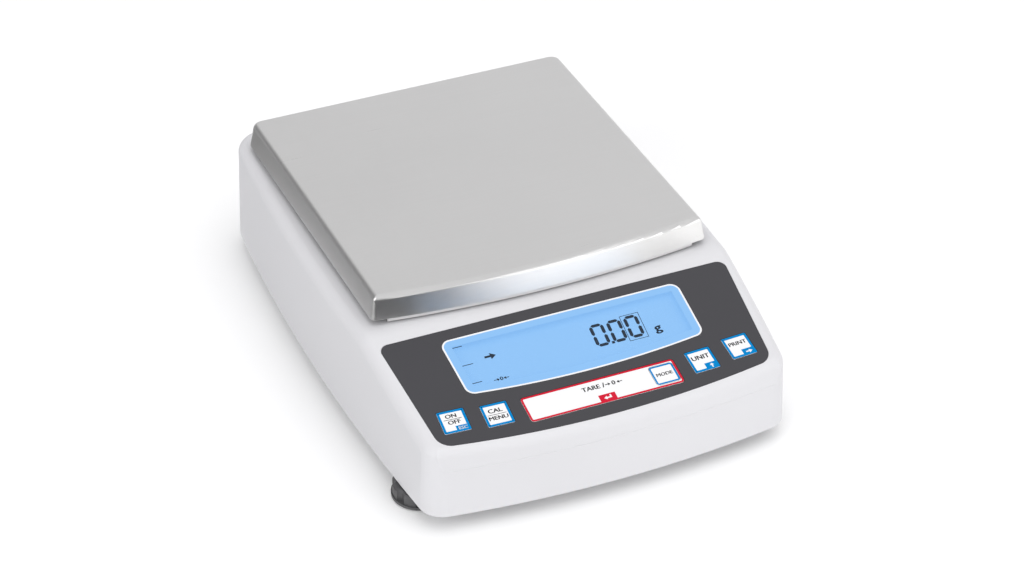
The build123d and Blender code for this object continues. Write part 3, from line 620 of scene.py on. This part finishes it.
def showReadout():
    look = readout
    shiftX, shiftY = look["parallax"]
    place = panelTop("lcd_glass")[0] @ Matrix.Translation((shiftX * mm, shiftY * mm, 0))
    for index, x in enumerate(look["digitX"]):
        showZero("digit%d" % index, place, x, look["digitY"])
    x, y, size = look["point"]
    addMark("decimalPoint", place, rectangle(x, y, size, size, look["slant"]))
    x, y, width, height, line = look["bracket"]
    for side in (-1, 1):
        sideX = x + side * width / 2
        addMark("bracketSide%d" % side, place, rectangle(sideX, y, line, height, look["slant"]))
        endX = x + side * look["slant"] * height / 2
        addMark("bracketEnd%d" % side, place, rectangle(endX, y + side * height / 2, width + line, line))
    addWords("unitMark", place, "g", look["unit"], "housing", "segmentBlack", look["lift"])
    for index, (x, y, width) in enumerate(look["dashes"]):
        addMark("dash%d" % index, place, rectangle(x, y, width, look["dashHeight"]))
    x, y, scale = look["arrow"]
    addMark("stableArrow", place, moved(arrows["right"], x, y, scale))
    addWords("zeroMark", place, "0", look["zero"], "housing", "segmentBlack", look["lift"])
    for index, (x, side) in enumerate(look["tips"]):
        points = [(x + side * a, look["zero"]["y"] + side * b) for a, b in thinArrow]
        addMark("zeroTip%d" % index, place, points)


showReadout()
print("display shows its readout")


# Floor, light and camera

floorLook = {
    "reach": 8.0,
    "low": (0.95, 0.95, 0.95),
    "high": (0.97, 0.97, 0.97),
    "patch": 3.0,
    "roughness": 0.9,
    "glow": 0.07,
}


def addSheet(name, corners, material):
    mesh = bpy.data.meshes.new(name)
    mesh.from_pydata(corners, [], [(0, 1, 2, 3)])
    mesh.update()
    mesh.materials.append(material)
    sheet = bpy.data.objects.new(name, mesh)
    bpy.context.scene.collection.objects.link(sheet)
    return sheet


def addFloor():
    look = floorLook
    material, graph = newMaterial("floorPaper")
    tone = graph.noise(look["patch"])
    shader = graph.node("BsdfPrincipled", {}, {
        "Base Color": graph.blend(tone, look["low"], look["high"]),
        "Roughness": look["roughness"],
        "Specular IOR Level": 0.0,
        "Emission Color": white,
        "Emission Strength": look["glow"],
    })
    graph.close("Material", shader)
    reach = look["reach"]
    corners = [(-reach, -reach, 0), (reach, -reach, 0), (reach, reach, 0), (-reach, reach, 0)]
    addSheet("floor", corners, material)


# cards seen only in shiny surfaces; each rises from z[0] at y[0] to z[1] at y[1]
cards = {
    "darkCardFront": {"x": (-0.7, -0.008), "y": (-0.17, -0.6), "z": (0.002, 0.3), "tone": 0.01, "glow": 0.0},
    "greyCardSide": {"x": (-0.7, -0.1), "y": (-0.1, 0.8), "z": (0.002, 0.002), "tone": 0.24, "glow": 0.0},
    "brightCardFront": {"x": (0.03, 0.15), "y": (-0.17, -0.6), "z": (0.002, 0.3), "tone": 0.8, "glow": 0.8},
}

cardPaper = {"patch": 6.0, "mottle": 0.1, "roughness": 0.9}


def addCards():
    for name, look in cards.items():
        material, graph = newMaterial(name)
        tone = graph.noise(cardPaper["patch"])
        low, high = shades((look["tone"],) * 3, cardPaper["mottle"])
        shader = graph.node("BsdfPrincipled", {}, {
            "Base Color": graph.blend(tone, low, high),
            "Roughness": cardPaper["roughness"],
            "Emission Color": white,
            "Emission Strength": look["glow"],
        })
        graph.close("Material", shader)
        (x0, x1), (y0, y1), (z0, z1) = look["x"], look["y"], look["z"]
        corners = [(x0, y0, z0), (x1, y0, z0), (x1, y1, z1), (x0, y1, z1)]
        card = addSheet(name, corners, material)
        card.visible_camera = False
        card.visible_diffuse = False
        card.visible_shadow = False


lamps = {
    "keyLight": {"size": (2.6, 2.6), "energy": 17.0, "at": (0.3, -0.35, 1.9), "shows": False},
    "fillLight": {"size": (1.6, 1.0), "energy": 9.5, "at": (-1.5, -0.7, 1.0), "shows": True},
    "frontLight": {"size": (1.2, 0.7), "energy": 4.5, "at": (1.2, -1.6, 0.6), "shows": True},
}


def addLamps():
    for name, look in lamps.items():
        light = bpy.data.lights.new(name, "AREA")
        light.shape = "RECTANGLE"
        light.size, light.size_y = look["size"]
        light.energy = look["energy"]
        lamp = bpy.data.objects.new(name, light)
        lamp.location = look["at"]
        lamp.rotation_euler = (-Vector(look["at"])).to_track_quat("-Z", "Y").to_euler()
        lamp.visible_glossy = look["shows"]
        bpy.context.scene.collection.objects.link(lamp)


sky = {
    "bright": (0.73, 0.73, 0.74),
    "dark": (0.2, 0.2, 0.205),
    "darkTowards": (-0.62, 0.76, 0.2),
    "start": 0.55,
    "end": 0.95,
}


def addSky():
    # soft studio light, darker towards the back left; white where the camera sees it
    look = sky
    world = bpy.data.worlds.new("studio")
    bpy.context.scene.world = world
    world.use_nodes = True
    graph = Graph(world.node_tree)
    towards = graph.node("TexCoord", {}, {}, "Generated")
    aim = tuple(Vector(look["darkTowards"]).normalized())
    facing = graph.node("VectorMath", {"operation": "DOT_PRODUCT"}, {0: towards, 1: aim}, "Value")
    shade = ((facing - look["start"]) / (look["end"] - look["start"])).clamped()
    lit = graph.node("Background", {}, {"Color": graph.blend(shade, look["bright"], look["dark"])})
    seen = graph.node("Background", {}, {"Color": white})
    camera = graph.node("LightPath", {}, {}, "Is Camera Ray")
    graph.close("World", graph.node("MixShader", {}, {0: camera, 1: lit, 2: seen}))


view = {
    "azimuth": -23.66,
    "elevation": 34.77,
    "distance": 1.543,
    "target": (0.0197, 0.0296, 0.0043),
    "focalPixels": 3021.0,
    "imageWidth": 1024.0,
    "sensor": 36.0,
}


def addCamera():
    azimuth = math.radians(view["azimuth"])
    elevation = math.radians(view["elevation"])
    level = math.cos(elevation)
    back = Vector((math.sin(azimuth) * level, -math.cos(azimuth) * level, math.sin(elevation)))
    lens = bpy.data.cameras.new("camera")
    lens.sensor_width = view["sensor"]
    lens.lens = view["focalPixels"] * view["sensor"] / view["imageWidth"]
    camera = bpy.data.objects.new("camera", lens)
    camera.location = Vector(view["target"]) + back * view["distance"]
    camera.rotation_euler = (-back).to_track_quat("-Z", "Y").to_euler()
    bpy.context.scene.collection.objects.link(camera)
    bpy.context.scene.camera = camera


addFloor()
addCards()
addLamps()
addSky()
addCamera()
bpy.context.scene.view_settings.view_transform = "Standard"
print("stage, light and camera set")
